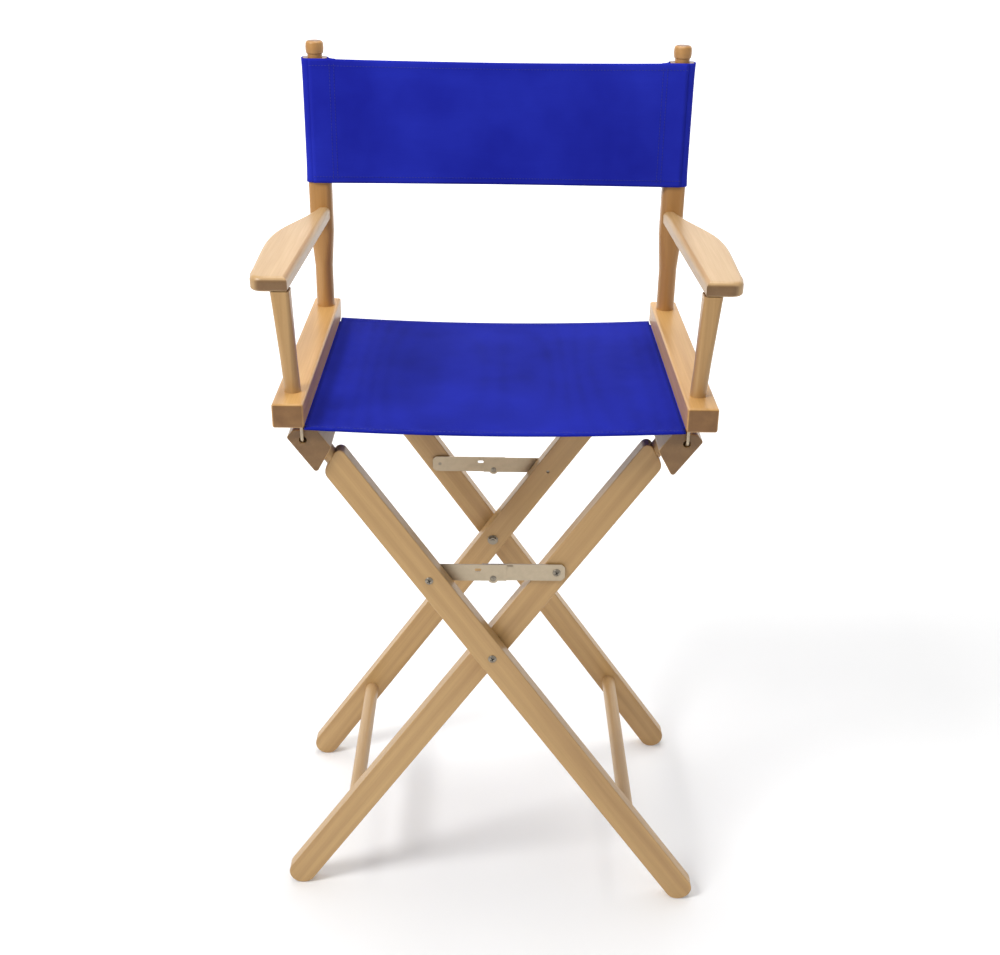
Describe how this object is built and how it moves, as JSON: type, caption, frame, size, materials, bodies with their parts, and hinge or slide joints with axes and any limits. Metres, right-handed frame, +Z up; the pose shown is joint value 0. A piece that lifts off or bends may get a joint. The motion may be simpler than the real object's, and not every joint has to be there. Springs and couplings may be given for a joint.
{
  "type": "folding chair",
  "caption": "Tall folding director's chair with crossed wooden leg frames, wooden arms, stretched canvas seat and back, and folding steel braces.",
  "frame": {"origin": "on the floor, under the middle of the chair", "axes": "+X across the chair, +Y to the back, +Z up"},
  "size_m": [0.5946, 0.424, 1.149],
  "materials": {
    "arm_wood": "satin clear lacquer on pale hardwood",
    "leg_wood": "satin clear lacquer on pale hardwood",
    "canvas": "matt dyed cotton canvas",
    "steel": "nickel plated, dull"
  },
  "bodies": {
    "left_arm": {"arm_post_left": "arm_wood", "armrest_dowel_left": "arm_wood", "armrest_left": "arm_wood", "back_panel": "canvas", "back_post_left": "arm_wood", "back_sleeve_left": "canvas", "hinge_rod_left": "steel", "seat_dowel_left": "arm_wood", "seat_hem_left": "canvas", "seat_panel": "canvas", "seat_rail_left": "arm_wood"},
    "outer_frame": {"hinge_rail_left": "leg_wood", "stretcher_right": "leg_wood", "outer_leg_front": "leg_wood", "pivot_bolt_front": "steel", "pivot_spacer_front": "steel", "pivot_washer_front": "steel", "pivot_nut_front": "steel", "brace_screw_left_front": "steel", "brace_spacer_left_front": "steel", "outer_leg_rear": "leg_wood", "pivot_bolt_rear": "steel", "pivot_spacer_rear": "steel", "pivot_washer_rear": "steel", "pivot_nut_rear": "steel", "brace_screw_left_rear": "steel", "brace_spacer_left_rear": "steel"},
    "inner_frame": {"hinge_rail_right": "leg_wood", "stretcher_left": "leg_wood", "inner_leg_front": "leg_wood", "brace_screw_right_front": "steel", "brace_spacer_right_front": "steel", "inner_leg_rear": "leg_wood", "brace_screw_right_rear": "steel", "brace_spacer_right_rear": "steel"},
    "right_arm": {"arm_post_right": "arm_wood", "armrest_dowel_right": "arm_wood", "armrest_right": "arm_wood", "back_post_right": "arm_wood", "back_sleeve_right": "canvas", "hinge_rod_right": "steel", "seat_dowel_right": "arm_wood", "seat_hem_right": "canvas", "seat_rail_right": "arm_wood"},
    "brace_left_front": {"brace_link_left_front": "steel", "brace_rivet_left_front": "steel"},
    "brace_right_front": {"brace_link_right_front": "steel", "brace_rivet_right_front": "steel"},
    "brace_left_rear": {"brace_link_left_rear": "steel", "brace_rivet_left_rear": "steel"},
    "brace_right_rear": {"brace_link_right_rear": "steel", "brace_rivet_right_rear": "steel"}
  },
  "joints": [
    {"name": "fold", "type": "hinge", "parent": "left_arm", "child": "outer_frame", "pos_m": [-0.234, 0, 0.729], "axis": [0, 1, 0], "range_deg": [0, 30.8], "deforming": ["seat_panel", "back_panel"]},
    {"name": "leg_cross", "type": "hinge", "parent": "outer_frame", "child": "inner_frame", "pos_m": [0, 0, 0.412], "axis": [0, 1, 0], "range_deg": [-61.8, 0.2]},
    {"name": "right_arm_hinge", "type": "hinge", "parent": "inner_frame", "child": "right_arm", "pos_m": [0.234, 0, 0.729], "axis": [0, 1, 0], "range_deg": [-0.2, 31]},
    {"name": "brace_left_front_turn", "type": "hinge", "parent": "outer_frame", "child": "brace_left_front", "pos_m": [-0.0826, 0, 0.52996], "axis": [0, 1, 0], "range_deg": [-119.88, 0.5]},
    {"name": "brace_right_front_turn", "type": "hinge", "parent": "inner_frame", "child": "brace_right_front", "pos_m": [0.0826, 0, 0.52996], "axis": [0, 1, 0], "range_deg": [-0.5, 119.88]},
    {"name": "brace_left_rear_turn", "type": "hinge", "parent": "outer_frame", "child": "brace_left_rear", "pos_m": [-0.0826, 0, 0.52996], "axis": [0, 1, 0], "range_deg": [-119.88, 0.5]},
    {"name": "brace_right_rear_turn", "type": "hinge", "parent": "inner_frame", "child": "brace_right_rear", "pos_m": [0.0826, 0, 0.52996], "axis": [0, 1, 0], "range_deg": [-0.5, 119.88]}
  ],
  "couplings": [
    {"joint": "leg_cross", "follows": "fold", "ratio": -2},
    {"joint": "right_arm_hinge", "follows": "fold", "ratio": 1},
    {"joint": "brace_left_front_turn", "follows": "fold", "ratio": -3.8759},
    {"joint": "brace_right_front_turn", "follows": "fold", "ratio": 3.8759},
    {"joint": "brace_left_rear_turn", "follows": "fold", "ratio": -3.8759},
    {"joint": "brace_right_rear_turn", "follows": "fold", "ratio": 3.8759}
  ]
}
